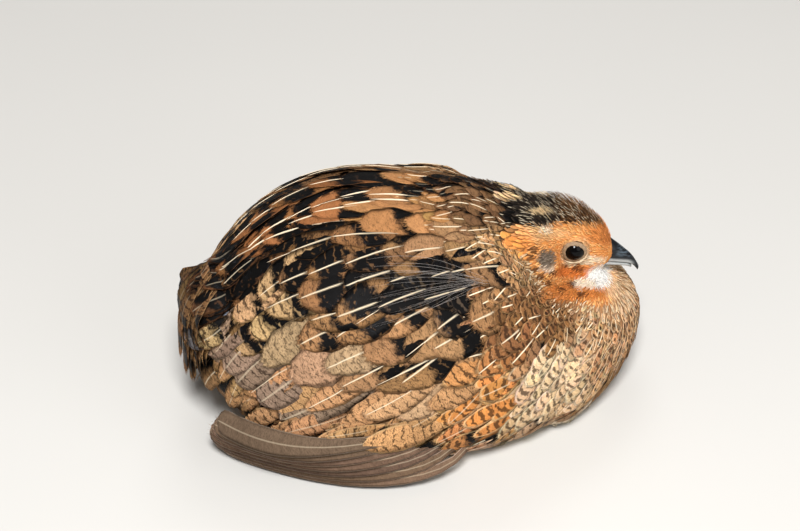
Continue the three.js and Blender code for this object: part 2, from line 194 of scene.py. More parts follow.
# Each body patch: x from, to; angle from, to; ground colour; fringe colour and its width in mm;
# how far from the tip black begins in mm; strengths of bars, pepper and shaft streak.
BODY_PATCHES = [
    ((-60, 28), (95, 130), (62, 47, 37), (124, 84, 54), 0.3, -2.5, 0.3, 0.3, 0.3),  # middle of the back
    ((-50, -20), (76, 95), (146, 96, 58), (156, 106, 66), 0.3, 3.8, 0.1, 0.5, 1.0),  # brown bands beside it
    ((-22, 4), (66, 96), (174, 124, 78), (178, 130, 84), 0.3, 9, 0.0, 0.4, 0.7),  # golden shoulder
    ((3, 24), (60, 95), (118, 86, 58), (146, 106, 74), 0.3, 4.6, 0.2, 0.5, 0.9),  # mantle
    ((20, 38), (64, 130), (60, 49, 40), (108, 87, 68), 0.3, -0.5, 0.2, 0.3, 0.9),  # dark hindneck
    ((-50, -27), (57, 84), (122, 87, 55), (126, 90, 57), 0.3, 0.2, 0.3, 1.0, 0.8),  # blotched rear wing
    ((-28, -12), (50, 76), (142, 102, 66), (142, 102, 66), 0.3, 4.4, 0.3, 0.9, 0.8),  # middle of the wing
    ((-14, 8), (54, 70), (152, 114, 80), (156, 116, 82), 0.2, 9, 0.1, 0.8, 0.8),  # over the wing's dark patch
    ((-28, 3), (32, 55), (100, 82, 66), (84, 72, 62), 0.2, -3.0, 0.7, 0.4, 0.9),  # dark patch of the wing
    ((-36, -22), (26, 47), (146, 108, 72), (150, 112, 76), 0.3, 4.2, 0.3, 1.0, 0.8),  # behind the dark patch
    ((-60, -36), (14, 57), (184, 148, 106), (160, 122, 84), 0.3, 4.2, 0.6, 0.9, 0.3),  # cream rear wing
    ((-60, -47), (54, 130), (92, 62, 40), (116, 78, 50), 0.4, 0.0, 0.4, 0.7, 0.2),  # rump
    ((-64, -53), (47, 58), (160, 168, 182), (176, 182, 194), 0.4, 9, 0.1, 0.1, 0.0),  # pale rump patch
    ((-46, -27), (9, 28), (164, 132, 102), (168, 138, 110), 0.3, 9, 0.2, 0.9, 0.7),  # mauve-brown coverts
    ((-29, 4), (7, 32), (158, 118, 80), (164, 126, 88), 0.3, 7.2, 0.2, 0.9, 0.9),  # tan lower wing
    ((-52, -4), (-22, 9), (192, 146, 100), (206, 164, 118), 0.3, 8, 0.3, 0.9, 0.3),  # low flank
    ((-22, -15), (-2, 4), (176, 146, 116), (188, 164, 138), 0.4, 9, 0.2, 0.4, 0.1),  # pale spot of the flank
    ((-4, 15), (-26, 16), (202, 134, 74), (228, 190, 138), 0.9, 9, 0.95, 0.2, 0.4),  # orange flank
    ((11, 38), (-26, 8), (222, 188, 146), (234, 212, 180), 0.7, 9, 0.8, 0.3, 0.2),  # cream breast
    ((4, 38), (10, 46), (140, 96, 60), (190, 146, 100), 0.4, 9, 0.9, 0.5, 1.0),  # side of the breast
    ((6, 32), (38, 66), (190, 144, 98), (224, 188, 144), 0.3, 9, 0.9, 0.7, 1.0),  # side of the neck
    ((34, 64), (-26, 54), (190, 140, 96), (230, 194, 152), 0.5, 9, 0.9, 0.7, 0.9),  # throat and breast
]
GROUND_AWAY = ((140, 104, 70), (158, 120, 82), 0.3, 5, 0.2, 0.8, 0.6)  # where no patch lies
BELLY = ((214, 196, 168), (228, 214, 190), 0.5, 9, 0.3, 0.1, 0.1)  # wherever it is close to the ground

# Each spot of the face: its middle as u towards the bill and v up, half its width and height, its
# colour, how strong it is, and a fringe colour where that differs. The eye is at 0.3, -3.
FACE_SPOTS = [
    ((-9, 0.6), (7.5, 1.7), (250, 200, 142), 0.8),  # pale band over the ear
    ((-14.5, -1), (4, 2.4), (232, 146, 76), 0.6),  # rear of the face
    ((7, 0.6), (4, 2.6), (200, 120, 58), 0.8),  # brow
    ((-7.4, 1.5), (1.5, 1.1), (244, 224, 196), 0.9),
    ((-8.9, 6.1), (3, 0.75), (236, 204, 156), 1.0),  # cream dashes of crown and nape
    ((-17.4, 9.4), (3.4, 0.9), (234, 200, 150), 1.0),
    ((1, -8.9), (6, 1.6), (214, 112, 42), 0.8),  # cheek
    ((0, -14), (9, 2.4), (214, 128, 60), 0.8),  # throat
    ((9.5, -12.5), (1.8, 3.4), (244, 206, 164), 0.8),
    ((0.8, -6.2), (3.4, 0.9), (248, 222, 184), 0.9),  # pale line from under the eye to the bill
    ((4.6, -5.75), (3.4, 0.9), (250, 228, 196), 1.0),
    ((6.6, -10.2), (3.1, 3.0), (255, 252, 246), 1.0),  # white patch under the gape
    ((2.8, -11.8), (3.0, 1.2), (252, 238, 216), 0.9),
    ((-7.1, -7.9), (2.1, 0.9), (228, 210, 186), 0.9),  # pale edge under the ear
    ((-7.15, -5.6), (2.5, 2.1), (118, 102, 86), 1.0, (146, 130, 114)),  # ear patch
]
FLECKS = [
    (-11.8, -5.4), (-10.4, -8.2), (-5.2, -9.3), (-1.8, -7.4), (0.4, -7.9), (2.4, -8.3), (-12.8, -3.6),
    (-10.6, -3.4), (-6.5, -11.6), (-3.2, -13.2), (-0.5, -12.2), (-8.6, -9.9), (1.5, -14.6),
]


def marking(ground, fringe, width, black, bars, pepper, streak):
    """A patch's values as one row: ground, fringe with its width, and the four markings."""
    return np.concatenate([paint(*ground), paint(*fringe), [width / 10, black / 10, bars, pepper, streak]])


def plain(colour, fringe=None):
    """A patch without black, bars or streak."""
    return marking(colour, fringe or colour, 0.2, 9, 0, 0.1, 0)


def plumage(places):
    """The markings of the coat at each place, one row each as marking() gives them."""
    x, angle = body_angles(places)
    draws = np.random.default_rng(9)
    x, angle = x + 1.1 * draws.normal(size=len(x)), angle + 1.8 * draws.normal(size=len(x))
    # The dark middle of the back lies a little to the left
    angle = angle + 28 * smooth(58, 80, angle) * smooth(89, 84, angle) * (places[:, 1] > 0)
    rows = np.tile(marking(*GROUND_AWAY), (len(places), 1))

    def lay(weight, row):
        rows[:] += weight[:, None] * (row - rows)

    for (x0, x1), (low, high), *values in BODY_PATCHES:
        weight = smooth(x0 - 2.5, x0 + 2.5, x) * smooth(x1 + 2.5, x1 - 2.5, x)
        weight = weight * smooth(low - 4, low + 4, angle) * smooth(high + 4, high - 4, angle)
        lay(weight, marking(*values))
    lay(smooth(7, 3, places[:, 2] / MM), marking(*BELLY))

    # The face, from the line of the crown above to that of the throat below
    hx, hy, hz = head_local(places).T
    u = 0.974 * hx + 0.225 * hz - 0.06 * np.maximum(hx, 0) + 0.3 * draws.normal(size=len(hx))
    v = 0.788 * hz - 0.588 * np.abs(hy) - 0.182 * hx + 0.6 + 0.3 * draws.normal(size=len(hx))
    top = np.interp(
        u, [-18.2, -14.5, -11.6, -8.1, -5.4, 2.2, 5.3, 8.3, 11], [0.5, 2.2, 2, 2.4, 3.2, 3.2, 2.9, 2, 0]
    )
    under = np.interp(
        u, [-18.7, -16.7, -13, -10.6, -8.1, -3.2, 1.7, 6.6, 9.5, 10.7, 11.2, 12.5],
        [-1, -3.9, -5.9, -9.3, -12, -15.4, -16.9, -17.4, -16.2, -12.5, -8.8, -4],
    )
    near = smooth(29, 25, np.linalg.norm([hx + 2, hy, hz + 3], axis=0))
    on_head = near * smooth(-19.6, -17.8, u)
    # The dark crown, browner towards the bill
    above = on_head * smooth(top - 0.6, top + 0.6, v)
    lay(above, marking((44, 37, 32), (86, 72, 58), 0.1, 0.3, 0, 0.2, 0.6))
    lay(above * smooth(-6, -2, u), marking((92, 64, 43), (180, 128, 82), 0.08, 0.2, 0, 0.3, 0.7))
    face = on_head * smooth(under - 0.7, under + 0.7, v) * smooth(top + 0.5, top - 0.5, v)
    lay(face, plain((236, 154, 80), (246, 192, 130)))

    def spot(at, size, colour, weight, fringe=None):
        far = np.hypot((u - at[0]) / size[0], (v - at[1]) / size[1])
        lay(smooth(1.25, 0.75, far) * weight * near, plain(colour, fringe))

    for values in FACE_SPOTS:
        spot(*values)
    for fleck in FLECKS:
        spot(fleck, (0.9, 0.7), (78, 46, 30), 0.85)
    # A pale ring of small feathers round the eye
    ring = np.hypot(hx - EYE_FORWARD, hz) + 9 * (np.abs(hy) < 3)
    lay(smooth(3.8, 3.1, ring) * (0.5 + 0.45 * smooth(1, -2, hz)), plain((246, 224, 190)))
    return rows


# The lie of the coat: feathers point away from the bill over head, throat and breast, then
# rearward and down the flanks. Each one's path follows that lie along the skin.
BILL_BASE = head_place(11, 0, -3)


def lie(places, out):
    """The way that a feather points at each place, along the skin."""
    x, angle = body_angles(places)
    away = places - BILL_BASE
    far = np.linalg.norm(away, axis=-1) / MM
    steepness = np.interp(angle, [-20, 10, 30, 45, 60, 90], [22, 30, 20, 13, 6, 4])
    fall = np.radians(steepness + 12 * smooth(-30, -48, x))
    side = np.sign(places[..., 1])
    lift = 0.12 * smooth(60, 85, angle) * smooth(0, -30, x)
    rear = np.stack([-np.cos(fall), -side * lift, -np.sin(fall)], axis=-1)
    share = np.exp(-((far / 46) ** 3))[..., None]
    way = unit(away) * share + rear * (1 - share)
    way = way - out * (way * out).sum(axis=-1, keepdims=True)
    return unit(way)


def follow(starts, lengths, steps, sign=1, bend=None):
    """Paths over the skin along the lie of the coat: places, ways out and ways on, by step."""
    at, out = settle(starts)
    places, outs, ways = [], [], []
    for step in range(steps + 1):
        way = lie(at, out)
        if bend is not None:
            way = unit(way + np.cross(out, way) * bend[:, None])
        places.append(at)
        outs.append(out)
        ways.append(way)
        if step < steps:
            at, out = settle(at + sign * way * (lengths / steps)[:, None])
    order = slice(None, None, sign)
    return np.array(places[order]), np.array(outs[order]), np.array(ways[order])


# Feathers: each is a thin closed vane, thickest along its shaft, with loose barbs along its edges
# and tip. They root in the skin and lie over each other like tiles.
ROOT_WIDTH = 0.45  # of a vane at its root, as a share of its full width
OVER_GROUND = 0.03 * MM
NO_BLACK = 30  # a start of black past every feather's root, in units of 10 mm


def closed_mesh(name, points, faces, values, patches):
    """A mesh from arrays of points and triangles, with its values at points and its baking map."""
    mesh = bpy.data.meshes.new(name)
    mesh.vertices.add(len(points))
    mesh.vertices.foreach_set("co", points.ravel())
    mesh.loops.add(len(faces) * 3)
    mesh.loops.foreach_set("vertex_index", faces.ravel())
    mesh.polygons.add(len(faces))
    mesh.polygons.foreach_set("loop_start", np.arange(0, len(faces) * 3, 3))
    mesh.polygons.foreach_set("use_smooth", np.ones(len(faces), dtype=bool))
    mesh.update(calc_edges=True)
    for key, array in values.items():
        kind, field = ("FLOAT_VECTOR", "vector") if array.shape[1] == 3 else ("FLOAT_COLOR", "color")
        mesh.attributes.new(key, kind, "POINT").data.foreach_set(field, array.ravel())
    mesh.uv_layers.new(name="OFBake").uv.foreach_set("vector", patches[faces.ravel()].ravel())
    return mesh


def unwrap(places):
    """Where a place of the skin lies on a map unrolled round the body's long axis."""
    x, _ = body_angles(places)
    round_angle = np.degrees(np.arctan2(places[..., 1], LEVEL - places[..., 2]))
    return np.stack([0.02 + 0.96 * (x + 62) / 130, 0.02 + 0.96 * (round_angle + 180) / 360], axis=-1)


def tube_faces(rings, corners, on):
    """Triangles from each ring of corners to the next, whose points are numbered on by so many."""
    start = (np.arange(rings) * on)[:, None]
    here, there = start + np.arange(corners), start + (np.arange(corners) + 1) % corners
    return np.stack([here, here + on, there + on, here, there + on, there], -1).reshape(-1, 3)


def repeated(faces, count, points_each):
    """One part's faces, for as many like parts whose points follow each other."""
    return (faces[None] + (np.arange(count) * points_each)[:, None, None]).reshape(-1, 3)


def dress(piece, material, slot, *nodes):
    """Gives a piece its material, and hides the CAD nodes that it stands for. The slot is not used."""
    piece.data.materials.clear()
    piece.data.materials.append(material)
    if nodes:
        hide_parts(*nodes)


class Coat:
    """A tract of feathers that grows as vanes are added, and ends as one piece."""

    def __init__(self, name, seed):
        self.name = name
        self.draws = np.random.default_rng(seed)
        self.parts = []

    def varied(self, amount, size):
        """A drawn factor close to 1, for each of so many feathers."""
        return 1 + amount * self.draws.normal(size=size)

    def add(
        self, path, halves, lengths, columns, heights, rows=None, *, thick, patch=0.003, hug=False, barbs=2,
        ragged=0.06, blunt=2.2, round_from=0.62, streaked=1.0, uneven=0.1,
    ):
        """Vanes along paths. heights are of the underside above the path, at root and tip."""
        places, outs, ways = path
        steps, count = places.shape[0] - 1, places.shape[1]
        source = np.arange(steps + 1) / steps
        t = 1 - (1 - source) ** 1.25  # closer together towards the tip
        places, outs, ways = (self.along(source, t, array) for array in (places, outs, ways))
        sides = unit(np.cross(outs, ways))
        rounding = (np.clip(t - round_from, 0, 1) / (1.005 - round_from)) ** blunt
        shape = (ROOT_WIDTH + (1 - ROOT_WIDTH) * smooth(0, 0.55, t)) * np.clip(1 - rounding, 0.004, 1) ** 0.5
        half = halves[None] * shape[:, None]

        # Each cross-section is a ring of points: over the top from edge to edge, and back below
        u = np.concatenate([np.linspace(-1, 1, columns + 1), np.linspace(1, -1, columns + 1)[1:-1]])
        is_top = np.concatenate([np.ones(columns + 1), -np.ones(columns - 1)])
        jag = self.draws.normal(size=(steps + 1, count, 2)) * smooth(0.35, 0.6, t)[:, None, None]
        jag = 1 + ragged * jag
        across = u * half[..., None] * np.where(u < 0, jag[..., :1], jag[..., 1:])
        low, high = (np.broadcast_to(height, (count,)) for height in heights)
        rise = low[None] + (high - low)[None] * (t**0.8)[:, None]
        roll = self.draws.normal(scale=0.05, size=count)
        belly = thick * (1 - np.abs(u) ** 1.5) * 0.5 * is_top
        ridge = 0.5 * thick * (np.abs(u) < 0.01) * (is_top > 0)
        height = rise[..., None] + belly + ridge + roll[None, :, None] * across
        points = places[:, :, None] + sides[:, :, None] * across[..., None]
        if hug:
            base, out = settle(points[:, :, : columns + 1])
            back = [columns - i for i in range(1, columns)]
            points = np.concatenate([base, base[:, :, back]], axis=2)
            out = np.concatenate([out, out[:, :, back]], axis=2)
            points = points + out * height[..., None]
        else:
            camber = across**2 / (60 * MM)
            points = points + outs[:, :, None] * (height - camber)[..., None]
        points[..., 2] = np.maximum(points[..., 2], OVER_GROUND + thick * (is_top > 0))
        tip_gap = lengths[None] * (1 - t)[:, None]
        wide = [np.broadcast_to(values[..., None], across.shape) for values in (tip_gap, half)]
        vane = np.stack([across, *wide], axis=-1) / MM

        ring, on = len(u), count * len(u)
        fan = np.array([(0, i + 1, i) for i in range(1, ring - 1)])
        one = np.concatenate([tube_faces(steps, ring, on), fan[:, ::-1], fan + steps * on])

        # Each feather's own colours, start of black and streak, and its own draw for the material
        rows = (plumage(places[int(0.8 * steps)]) if rows is None else rows).copy()
        shade = self.varied(uneven, (count, 1))
        rows[:, :6] = np.clip(rows[:, :6] * shade * self.varied(0.03, (count, 6)), 0, 1)
        start = rows[:, BLACK] + 0.1 * self.draws.normal(size=count)
        rows[:, BLACK] = np.where(rows[:, BLACK] > 0.75, NO_BLACK, start)
        rows[:, STREAK] *= self.draws.random(count) < streaked
        draw = self.draws.random(count)
        local = (np.broadcast_to((1 - t)[:, None, None], across.shape), across / halves[:, None] * 0.5 + 0.5)
        patches = unwrap(places[0])[None, :, None] + (np.stack(local, -1) - 0.5) * patch
        feather = np.broadcast_to(np.arange(count)[None, :, None], across.shape)
        self.store(points, repeated(one, count, ring), vane, feather, rows, draw, patches)
        if barbs:
            self.fringe(points, vane, ways, sides, outs, columns, rows, draw, patches, barbs, half, t)
        return points[:, :, columns // 2], outs

    @staticmethod
    def along(source, t, array):
        """A path's values at the stations t, between those at the stations of its source."""
        index = np.clip(np.searchsorted(source, t, side="right") - 1, 0, len(source) - 2)
        share = ((t - source[index]) / (source[index + 1] - source[index]))[:, None, None]
        return array[index] * (1 - share) + array[index + 1] * share

    def fringe(self, points, vane, ways, sides, outs, columns, rows, draw, patches, barbs, half, t):
        """Loose barbs, each a thin tapering sliver that leaves the edge towards the tip."""
        steps, count = points.shape[0] - 1, points.shape[1]
        widest = half.max(axis=0)
        girth = np.clip(0.04 * widest, OVER_GROUND, 0.045 * MM)[:, None]
        faces = repeated(np.array([(0, 1, 3), (1, 2, 3), (2, 0, 3), (0, 2, 1)]), count, 4)
        feather = np.arange(count)[:, None].repeat(4, axis=1)
        for edge, sign in ((0, -1), (columns, 1)):
            for row in range(int(steps * 0.45), steps):
                out = outs[row]
                inward = points[row, :, columns // 2] - points[row, :, edge]
                spot = patches[row, :, edge][:, None].repeat(4, axis=1)
                for _ in range(barbs):
                    share = self.draws.random(count)[:, None]
                    root = points[row, :, edge] * (1 - share) + points[row + 1, :, edge] * share
                    root = root + inward * 0.25
                    lean = (0.6 - 0.45 * t[row] ** 3) * self.varied(0.4, count)
                    way = unit(ways[row] + sides[row] * (sign * lean)[:, None])
                    reach = np.minimum(0.5 * widest, 1.5 * MM) * (0.5 + 0.8 * self.draws.random(count))
                    reach = reach[:, None]
                    flat = unit(np.cross(out, way)) * girth
                    tip = root + way * reach - out * 0.04 * MM
                    corners = np.stack([root - flat, root + flat, root + out * girth * 1.2, tip], axis=1)
                    corners[..., 2] = np.maximum(corners[..., 2], OVER_GROUND)
                    here = vane[row, :, edge] * (1 - share) + vane[row + 1, :, edge] * share
                    here = here * [[0.8, 1, 1]]
                    onward = np.stack([sign * lean * 0.5, -np.ones(count), np.zeros(count)], -1)
                    coords = np.stack([here, here, here, here + onward * reach / MM], axis=1)
                    self.store(corners, faces, coords, feather, rows, draw, spot)

    def store(self, points, faces, vane, feather, rows, draw, patches):
        """Keeps one part: at each point the place on the vane, and its feather's row and draw."""
        feather = feather.ravel()
        rows = rows[feather]
        ground = np.concatenate([rows[:, :3], draw[feather][:, None]], axis=1)
        values = (vane.reshape(-1, 3), ground, rows[:, 3:BLACK], rows[:, BLACK:])
        self.parts.append((points.reshape(-1, 3), faces, *values, patches.reshape(-1, 2)))

    def piece(self, slot, material, *nodes):
        """The whole tract as one piece, which may stand for CAD nodes."""
        points, faces, vane, ground, fringe, marks, patches = zip(*self.parts)
        starts = np.cumsum([0] + [len(part) for part in points[:-1]])
        faces = np.concatenate([part + start for part, start in zip(faces, starts)])
        values = {"vane": vane, "ground": ground, "fringe": fringe, "marks": marks}
        values = {key: np.concatenate(arrays) for key, arrays in values.items()}
        mesh = closed_mesh(self.name, np.concatenate(points), faces, values, np.concatenate(patches))
        dress(put_in_scene(self.name, mesh), material, slot, *nodes)


# Plumage material: barbs run out from the shaft, over the ground colour, with black at the base of
# what shows, bars across, pepper and wavy lines, a cream shaft streak and a fringe at the edge.
class Wire:
    """One socket of a material, with arithmetic that adds the nodes for it."""

    def __init__(self, tree, socket=None):
        self.tree = tree
        self.socket = socket

    def add(self, kind, output=0, settings=None, **values):
        """A node of any kind, by type, settings and socket values. in_2 is its third input."""
        node = self.tree.nodes.new(kind)
        for name, value in (settings or {}).items():
            setattr(node, name, value)
        for name, value in values.items():
            key = int(name[3:]) if name.startswith("in_") else name.replace("_", " ")
            if isinstance(value, Wire):
                self.tree.links.new(value.socket, node.inputs[key])
            else:
                node.inputs[key].default_value = value
        return Wire(self.tree, node.outputs[output])

    def math(self, operation, *operands):
        values = {f"in_{i}": value for i, value in enumerate(operands)}
        return self.add("ShaderNodeMath", settings={"operation": operation}, **values)

    def __add__(self, other):
        return self.math("ADD", self, other)

    def __sub__(self, other):
        return self.math("SUBTRACT", self, other)

    def __mul__(self, other):
        return self.math("MULTIPLY", self, other)

    def __truediv__(self, other):
        return self.math("DIVIDE", self, other)

    def __rsub__(self, other):
        return self.math("SUBTRACT", other, self)

    __radd__ = __add__
    __rmul__ = __mul__

    def __abs__(self):
        return self.math("ABSOLUTE", self)

    def ramp(self, low, high):
        """0 at low, 1 at high, smooth between them."""
        return self.add(
            "ShaderNodeMapRange", settings={"interpolation_type": "SMOOTHSTEP"},
            Value=self, From_Min=low, From_Max=high, To_Min=0.0, To_Max=1.0,
        )

    def blend(self, other, share):
        """This colour, turned into the other by a share."""
        return self.add("ShaderNodeMix", 2, {"data_type": "RGBA"}, in_0=share, in_6=self, in_7=other)

    def tinted(self, amount):
        """This colour made lighter or darker by a factor."""
        return self.add("ShaderNodeVectorMath", 0, {"operation": "SCALE"}, Vector=self, Scale=amount)

    def parts(self):
        return [self.add("ShaderNodeSeparateXYZ", i, Vector=self) for i in range(3)]

    def noise(self, scale, detail=2.0, rough=0.5):
        """Noise over this place, from 0 to 1."""
        return self.add("ShaderNodeTexNoise", Vector=self, Scale=scale, Detail=detail, Roughness=rough)

    def stored(self, name, output):
        """A value kept at the piece's points, as a colour (0), a vector (1) or the fourth part (3)."""
        return self.add("ShaderNodeAttribute", output, {"attribute_name": name})

    def joined(self, x, y, z):
        return self.add("ShaderNodeCombineXYZ", X=x, Y=y, Z=z)

    def dye(self, red, green, blue):
        """One even colour, from an sRGB one."""
        return self.joined(*paint(red, green, blue).tolist())

    def object_place(self):
        return self.add("ShaderNodeTexCoord", 3)


def new_material(name, roughness, specular):
    material = bpy.data.materials.new(name)
    material.use_nodes = True
    shader = material.node_tree.nodes["Principled BSDF"]
    shader.inputs["Roughness"].default_value = roughness
    shader.inputs["Specular IOR Level"].default_value = specular
    return material, Wire(material.node_tree), shader


def wear(shader, **values):
    """Feeds sockets of a shader from wires."""
    for name, wire in values.items():
        wire.tree.links.new(wire.socket, shader.inputs[name.replace("_", " ")])


def bumped(height, strength, distance):
    return height.add("ShaderNodeBump", Strength=strength, Distance=distance, Height=height)


def plumage_material():
    material, new, shader = new_material("plumage", 0.6, 0.05)
    across, tip_gap, half = new.stored("vane", 1).parts()  # in millimetres
    off_shaft = abs(across)
    ground, draw = new.stored("ground", 0), new.stored("ground", 3)
    fringe, fringe_width = new.stored("fringe", 0), new.stored("fringe", 3) * 10.0
    black, bars, pepper = new.stored("marks", 1).parts()
    streak = new.stored("marks", 3)
    dark_brown = new.dye(40, 27, 20)

    # Barbs and soft clouds over the ground colour, then mottling and short wavy dashes
    own = new.joined(across, tip_gap, draw * 60.0)
    barb = new.joined(tip_gap * 3.2 - off_shaft * 2.2, off_shaft * 0.5, draw * 40.0).noise(1.0, 4.0, 0.7)
    broad = own.noise(0.35)
    wobble = own.noise(0.55, 3.0, 0.6)
    patchy = new.object_place().noise(160.0)
    base = ground.tinted(0.2 + barb + broad * 0.4 + patchy * 0.24)
    cloud = own.noise(0.8, 3.0, 0.6).ramp(0.42, 0.66)
    base = base.blend(ground.tinted(0.5), cloud * pepper * 0.55)
    dashes = new.joined(across * 1.5 + wobble * 2.0, tip_gap * 3.0, draw * 60.0).noise(1.15, 2.0, 0.6)
    base = base.blend(dark_brown, dashes.ramp(0.53, 0.63) * pepper * 0.75)

    # A black blotch, slanted and wavy, whose length each feather draws
    slant = across / (half + 0.1) * (new.math("FRACT", draw * 7.3) - 0.5) * 4.5
    start = tip_gap + slant + (wobble - 0.5) * 5.5 + (barb - 0.5) * 3.4 - black * 10.0
    more_black = black.ramp(0.28, 0.1) * 5.0 + black.ramp(0.0, -0.2) * 9.0
    length = new.math("FRACT", draw * 13.7) * 5.0 + 4.0 + more_black
    dark = start.ramp(-0.8, 1.1) * (length - start).ramp(-0.6, 1.0)
    base = base.blend(new.dye(13, 12, 12).tinted(0.5 + barb), dark)

    # Bars that bow towards the tip, pale where they cross the black
    bow = off_shaft * off_shaft / (half * 3.0 + 0.5)
    phase = new.math("FRACT", (tip_gap - bow + wobble * 3.2) / 2.3 + draw * 3.0)
    bar = (abs(phase - 0.5) / (bars * 0.22 + 0.03)).ramp(1.2, 0.75) * own.noise(0.8, 1.0).ramp(0.32, 0.45)
    on_dark = 1.0 - dark * (1.0 - own.noise(0.45, 1.0).ramp(0.5, 0.58) * 0.7)
    bar_colour = dark_brown.blend(ground.tinted(0.8), dark)
    base = base.blend(bar_colour, bar * bars.ramp(0.0, 0.35) * on_dark * 0.8)

    # Dark ticks near the tips of the small barred feathers
    reach = tip_gap / (half + 0.05)
    tick = reach.ramp(0.5, 1.0) * (2.4 - reach).ramp(0.0, 0.5) * half.ramp(1.4, 0.8)
    base = base.blend(dark_brown, tick * own.noise(0.6, 1.0).ramp(0.4, 0.52) * bars)

    # The fringe along the edge, a blue-grey glint on the black, and the streak along the shaft
    edge = new.math("MINIMUM", half - off_shaft, tip_gap)
    rim = (edge / (fringe_width + 0.02)).ramp(1.0, 0.45)
    base = base.blend(fringe.tinted(0.6 + barb * 0.8), rim * (0.6 - dark * 0.3))
    glint = barb.ramp(0.58, 0.72) * patchy.ramp(0.45, 0.65) * dark
    base = base.blend(new.dye(92, 98, 110), glint * 0.45)
    shaft = (off_shaft / (half * 0.03 + 0.09)).ramp(1.4, 0.6) * tip_gap.ramp(0.1, 0.8) * streak
    base = base.blend(new.dye(244, 226, 194), shaft * 0.9)

    # A little darker away from the tip, where the feathers in front shade it
    base = base.tinted(1.0 - (tip_gap / (half + 0.3)).ramp(1.2, 3.5) * 0.2)
    wear(shader, Base_Color=base, Roughness=0.7 - dark * 0.2, Normal=bumped(barb, 0.7, 0.00012))
    return material


plumage_stuff = plumage_material()

# Skin colours: the same markings as the feathers over it, kept at its points and seen between the feathers as
# dark down.
# Their darkening is partly painted shade in the gaps between the feathers.
points, _ = mesh_arrays(skin.data)
ground = plumage(points)[:, :3]
tint = skin.data.attributes.new("ground", "FLOAT_COLOR", "POINT")
tint.data.foreach_set("color", np.concatenate([ground, np.ones((len(ground), 1))], axis=1).ravel())
corners = np.array([loop.vertex_index for loop in skin.data.loops])
skin.data.uv_layers.new(name="OFBake").uv.foreach_set("vector", unwrap(points)[corners].ravel())
down_and_painted_shade, new, shader = new_material("down_and_painted_shade", 0.8, 0.2)
fluff = new.object_place().noise(1800.0, 3.0)
# The plumage's colour at half to nine tenths of its brightness: dark down, and painted shade between the
# feathers
wear(shader, Base_Color=new.stored("ground", 0).tinted(0.5 + fluff * 0.4), Normal=bumped(fluff, 0.6, 0.0002))
dress(skin, down_and_painted_shade, "body_plumage", "torso", "neck", "head")


# Small feathers of the head, neck, breast, flanks, back, rump and belly, scattered at an even
# spacing that grows from the face to the flanks.
def spacing(places):
    """Millimetres from each feather's root to those beside it."""
    x, angle = body_angles(places)
    far = np.linalg.norm(places - head_at, axis=1) / MM
    size = np.interp(far, [9, 15, 18, 22, 30, 45, 62], [0.4, 0.48, 0.58, 1.1, 2.0, 2.7, 3.4])
    hx, hy, hz = head_local(places).T
    face = np.linalg.norm(np.stack([hx - 10, hy * 0.5, hz + 3]), axis=0)
    flank = smooth(-8, -2, x) * smooth(30, 20, x) * smooth(24, 16, angle)
    return size * (0.85 + 0.15 * smooth(3, 9, face)) * (1 + 0.45 * flank)


def skin_samples(each, seed):
    """Random places over the skin, so many on every face."""
    draws = np.random.default_rng(seed)
    points, _ = mesh_arrays(skin.data)
    corners = points[np.array([tuple(p.vertices) for p in skin.data.polygons if len(p.vertices) == 4])]
    spots = []
    for _ in range(each):
        u, v = draws.random((2, len(corners), 1))
        one_edge = corners[:, 0] * (1 - u) + corners[:, 1] * u
        other_edge = corners[:, 3] * (1 - u) + corners[:, 2] * u
        spots.append(one_edge * (1 - v) + other_edge * v)
    return np.concatenate(spots)


def spread_out(places, gaps, seed):
    """Keeps places, in a drawn order, that stand off from those already kept by their gap."""
    tree = KDTree(len(places))
    for i, place in enumerate(places.tolist()):
        tree.insert(place, i)
    tree.balance()
    free = np.ones(len(places), dtype=bool)
    kept = []
    for i in np.random.default_rng(seed).permutation(len(places)):
        if free[i]:
            kept.append(i)
            free[[found[1] for found in tree.find_range(places[i].tolist(), gaps[i])]] = False
    return np.array(kept)


samples = skin_samples(6, 5)
roots = samples[spread_out(samples, spacing(samples) * MM, 7)]
size = spacing(roots)
far = np.linalg.norm(roots - head_at, axis=1) / MM
x, angle = body_angles(roots)
hx, hy, hz = head_local(roots).T
on_eye = (np.hypot(hx - EYE_FORWARD, hz) <= 2.6) & (np.abs(hy) > 4)
on_bill = (hx > 10.3) & (hz > -6) & (np.abs(hy) < 3.2)
under_wing = (x > -42) & (x < -4 - 6 * smooth(50, 70, angle)) & (angle > 2) & (angle < 82)
low = roots[:, 2] < 7 * MM
head_part = (far < 17.5) & (hx > -21)
neck_part = ~head_part & (far < 31)
breast_part = ~head_part & ~neck_part & (x > 14) & ~low
back_part = ~head_part & ~neck_part & (x <= 14) & (angle > 78) & ~low
side_part = ~(head_part | neck_part | breast_part | back_part | low) & ~under_wing
right = roots[:, 1] < 0
